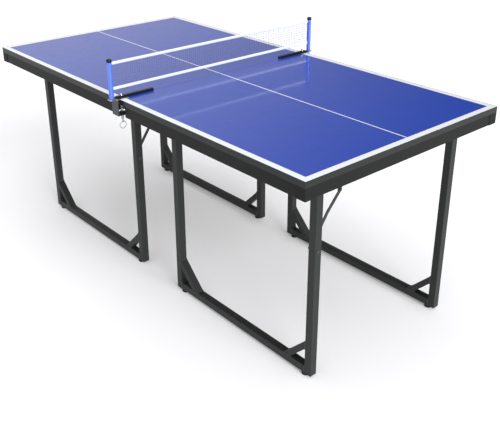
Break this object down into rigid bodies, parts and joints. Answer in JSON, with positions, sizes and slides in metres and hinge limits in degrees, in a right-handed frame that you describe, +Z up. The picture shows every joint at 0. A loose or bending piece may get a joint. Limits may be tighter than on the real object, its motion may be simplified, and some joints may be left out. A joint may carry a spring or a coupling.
{
  "type": "table tennis table",
  "caption": "Folding table tennis table with a blue two-part top, fold-in tube leg frames with elbow braces, and a clamp-on net.",
  "frame": {"origin": "on the floor, under the middle of the table", "axes": "+X along the table, +Y across it from the near side to the far side, +Z up"},
  "size_m": [1.83, 0.984, 0.92],
  "materials": {
    "playing_surface": "glossy blue paint with white boundary lines",
    "edge_band": "satin black edge band",
    "black_steel": "fine textured black powder coat",
    "black_plastic": "moulded black",
    "foot_rubber": "matt black",
    "zinc_steel": "dark zinc",
    "brace_steel": "satin dark coat",
    "clamp_steel": "black coat with bare bright edges",
    "bright_metal": "bright nickel plate",
    "blue_paint": "gloss blue paint",
    "net_cord": "knotless fine netting",
    "white_tape": "woven white tape"
  },
  "bodies": {
    "table": {"left_panel": "playing_surface", "right_panel": "playing_surface", "edge_strips": "edge_band", "side_rails": "black_steel", "end_rails": "black_steel", "middle_rails": "black_steel", "rail_caps": "black_plastic", "corner_guards": "black_plastic", "leg_brackets": "black_steel", "brace_brackets": "black_steel", "bracket_screws": "zinc_steel", "pivot_bolts": "zinc_steel", "brace_pins": "zinc_steel", "hinge_leaves": "zinc_steel", "hinge_pins": "zinc_steel", "hinge_rivets": "zinc_steel", "clamp_bodies": "clamp_steel", "clamp_arms": "black_plastic", "clamp_bolts": "bright_metal", "net_posts": "blue_paint", "post_caps": "black_plastic", "net_mesh": "net_cord", "top_tape": "white_tape", "bottom_tape": "white_tape"},
    "near_left_leg_frame": {"near_left_legs": "black_steel", "near_left_floor_rail": "black_steel", "near_left_gussets": "black_steel", "near_left_feet_and_plugs": "foot_rubber", "near_left_brace_bolt": "zinc_steel"},
    "near_left_lower_brace": {"near_left_lower_arm": "brace_steel"},
    "near_left_upper_brace": {"near_left_upper_arm": "brace_steel"},
    "near_right_leg_frame": {"near_right_legs": "black_steel", "near_right_floor_rail": "black_steel", "near_right_gussets": "black_steel", "near_right_feet_and_plugs": "foot_rubber", "near_right_brace_bolt": "zinc_steel"},
    "near_right_lower_brace": {"near_right_lower_arm": "brace_steel"},
    "near_right_upper_brace": {"near_right_upper_arm": "brace_steel"},
    "far_left_leg_frame": {"far_left_legs": "black_steel", "far_left_floor_rail": "black_steel", "far_left_gussets": "black_steel", "far_left_feet_and_plugs": "foot_rubber", "far_left_brace_bolt": "zinc_steel"},
    "far_left_lower_brace": {"far_left_lower_arm": "brace_steel"},
    "far_left_upper_brace": {"far_left_upper_arm": "brace_steel"},
    "far_right_leg_frame": {"far_right_legs": "black_steel", "far_right_floor_rail": "black_steel", "far_right_gussets": "black_steel", "far_right_feet_and_plugs": "foot_rubber", "far_right_brace_bolt": "zinc_steel"},
    "far_right_lower_brace": {"far_right_lower_arm": "brace_steel"},
    "far_right_upper_brace": {"far_right_upper_arm": "brace_steel"},
    "near_clamp_pad_body": {"near_clamp_pad": "foot_rubber"},
    "near_clamp_screw_body": {"near_clamp_screw": "bright_metal"},
    "near_pull_ring_body": {"near_pull_ring": "bright_metal"},
    "far_clamp_pad_body": {"far_clamp_pad": "foot_rubber"},
    "far_clamp_screw_body": {"far_clamp_screw": "bright_metal"},
    "far_pull_ring_body": {"far_pull_ring": "bright_metal"}
  },
  "joints": [
    {"name": "near_left_fold", "type": "hinge", "parent": "table", "child": "near_left_leg_frame", "pos_m": [-0.4745, -0.308, 0.738], "axis": [1, 0, 0], "range_deg": [0, 90]},
    {"name": "near_left_lower_brace_fold", "type": "hinge", "parent": "near_left_leg_frame", "child": "near_left_lower_brace", "pos_m": [-0.1485, -0.308, 0.47], "axis": [1, 0, 0], "range_deg": [0, 38.02]},
    {"name": "near_left_upper_brace_fold", "type": "hinge", "parent": "table", "child": "near_left_upper_brace", "pos_m": [-0.1521, -0.095, 0.738], "axis": [1, 0, 0], "range_deg": [-50.71, 0]},
    {"name": "near_right_fold", "type": "hinge", "parent": "table", "child": "near_right_leg_frame", "pos_m": [0.4745, -0.308, 0.738], "axis": [1, 0, 0], "range_deg": [0, 90]},
    {"name": "near_right_lower_brace_fold", "type": "hinge", "parent": "near_right_leg_frame", "child": "near_right_lower_brace", "pos_m": [0.8005, -0.308, 0.47], "axis": [1, 0, 0], "range_deg": [0, 38.02]},
    {"name": "near_right_upper_brace_fold", "type": "hinge", "parent": "table", "child": "near_right_upper_brace", "pos_m": [0.7969, -0.095, 0.738], "axis": [1, 0, 0], "range_deg": [-50.71, 0]},
    {"name": "far_left_fold", "type": "hinge", "parent": "table", "child": "far_left_leg_frame", "pos_m": [-0.4745, 0.308, 0.738], "axis": [-1, 0, 0], "range_deg": [0, 52]},
    {"name": "far_left_lower_brace_fold", "type": "hinge", "parent": "far_left_leg_frame", "child": "far_left_lower_brace", "pos_m": [-0.8675, 0.308, 0.47], "axis": [-1, 0, 0], "range_deg": [0, 30.77]},
    {"name": "far_left_upper_brace_fold", "type": "hinge", "parent": "table", "child": "far_left_upper_brace", "pos_m": [-0.8711, 0.095, 0.738], "axis": [-1, 0, 0], "range_deg": [-41.14, 0]},
    {"name": "far_right_fold", "type": "hinge", "parent": "table", "child": "far_right_leg_frame", "pos_m": [0.4745, 0.308, 0.738], "axis": [-1, 0, 0], "range_deg": [0, 52]},
    {"name": "far_right_lower_brace_fold", "type": "hinge", "parent": "far_right_leg_frame", "child": "far_right_lower_brace", "pos_m": [0.0815, 0.308, 0.47], "axis": [-1, 0, 0], "range_deg": [0, 30.77]},
    {"name": "far_right_upper_brace_fold", "type": "hinge", "parent": "table", "child": "far_right_upper_brace", "pos_m": [0.0779, 0.095, 0.738], "axis": [-1, 0, 0], "range_deg": [-41.14, 0]},
    {"name": "near_clamp_travel", "type": "slide", "parent": "table", "child": "near_clamp_pad_body", "axis": [0, 0, 1], "range_m": [-0.00875, 0]},
    {"name": "near_clamp_turn", "type": "hinge", "parent": "near_clamp_pad_body", "child": "near_clamp_screw_body", "pos_m": [0, -0.4427, 0.72], "axis": [0, 0, 1], "range_deg": [-2520, 0]},
    {"name": "near_ring_swing", "type": "hinge", "parent": "near_clamp_screw_body", "child": "near_pull_ring_body", "pos_m": [0, -0.4427, 0.688], "axis": [0, 1, 0], "range_deg": [-75, 75]},
    {"name": "far_clamp_travel", "type": "slide", "parent": "table", "child": "far_clamp_pad_body", "axis": [0, 0, 1], "range_m": [-0.00875, 0]},
    {"name": "far_clamp_turn", "type": "hinge", "parent": "far_clamp_pad_body", "child": "far_clamp_screw_body", "pos_m": [0, 0.4427, 0.72], "axis": [0, 0, 1], "range_deg": [-2520, 0]},
    {"name": "far_ring_swing", "type": "hinge", "parent": "far_clamp_screw_body", "child": "far_pull_ring_body", "pos_m": [0, 0.4427, 0.688], "axis": [0, 1, 0], "range_deg": [-75, 75]}
  ],
  "couplings": [
    {"joint": "near_left_lower_brace_fold", "follows": "near_left_fold", "ratio": 0.41694},
    {"joint": "near_left_upper_brace_fold", "follows": "near_left_fold", "ratio": -0.55785},
    {"joint": "near_right_lower_brace_fold", "follows": "near_right_fold", "ratio": 0.41694},
    {"joint": "near_right_upper_brace_fold", "follows": "near_right_fold", "ratio": -0.55785},
    {"joint": "far_left_lower_brace_fold", "follows": "far_left_fold", "ratio": 0.58221},
    {"joint": "far_left_upper_brace_fold", "follows": "far_left_fold", "ratio": -0.78152},
    {"joint": "far_right_lower_brace_fold", "follows": "far_right_fold", "ratio": 0.58221},
    {"joint": "far_right_upper_brace_fold", "follows": "far_right_fold", "ratio": -0.78152},
    {"joint": "near_clamp_turn", "follows": "near_clamp_travel", "rad_per_m": 5026.5},
    {"joint": "far_clamp_turn", "follows": "far_clamp_travel", "rad_per_m": 5026.5}
  ]
}
